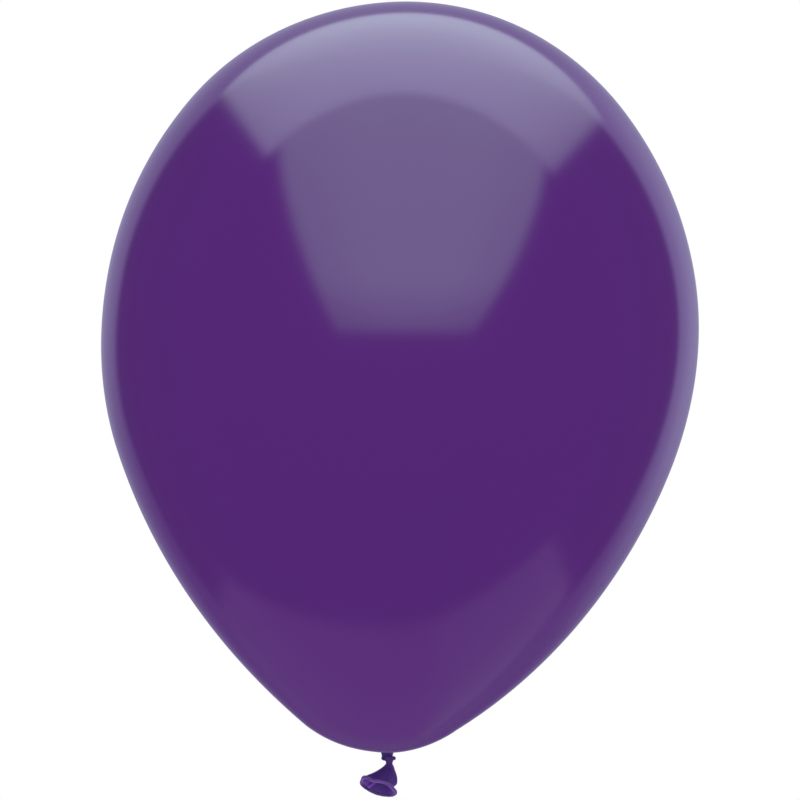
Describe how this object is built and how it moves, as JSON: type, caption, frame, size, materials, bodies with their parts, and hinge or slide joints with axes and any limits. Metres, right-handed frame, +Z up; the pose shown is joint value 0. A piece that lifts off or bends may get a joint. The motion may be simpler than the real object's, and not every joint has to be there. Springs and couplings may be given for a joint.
{
  "type": "latex balloon",
  "caption": "Blown-up latex balloon, an egg-shaped bulb on a short tied neck, with a hollow flared tail and a rolled mouth below the knot.",
  "frame": {"origin": "centre of the neck, the short gathered stretch between the bulb and the knot where a ribbon is tied and where the bulb flexes", "axes": "+Z up along the bulb's axis to its crown, +X to the right and -Y to the front, the side that the open mouth of the tail faces"},
  "size_m": [0.279, 0.279, 0.3709],
  "materials": {
    "bulb_film": "gloss",
    "neck_film": "satin",
    "knot_film": "satin",
    "tail_film": "satin",
    "bead_film": "satin"
  },
  "bodies": {
    "knot": {"knot_core": "knot_film", "knot_wrap": "knot_film"},
    "neck": {"neck": "neck_film"},
    "bulb": {"envelope": "bulb_film"},
    "waist": {"tail_stem": "neck_film"},
    "tail": {"tail": "tail_film", "mouth_bead": "bead_film"}
  },
  "joints": [
    {"name": "bulb_sway", "type": "hinge", "parent": "knot", "child": "neck", "pos_m": [0, 0, 0], "axis": [0, 1, 0], "range_deg": [-20, 20], "stiffness_Nm_per_rad": 0.02},
    {"name": "bulb_nod", "type": "hinge", "parent": "neck", "child": "bulb", "pos_m": [0, 0, 0], "axis": [1, 0, 0], "range_deg": [-20, 20], "stiffness_Nm_per_rad": 0.02},
    {"name": "tail_sway", "type": "hinge", "parent": "knot", "child": "waist", "pos_m": [0.0005, 0, -0.0061], "axis": [0, 1, 0], "range_deg": [-30, 12], "stiffness_Nm_per_rad": 0.0005},
    {"name": "tail_nod", "type": "hinge", "parent": "waist", "child": "tail", "pos_m": [0.0005, 0, -0.0061], "axis": [1, 0, 0], "range_deg": [-12, 30], "stiffness_Nm_per_rad": 0.0005}
  ]
}
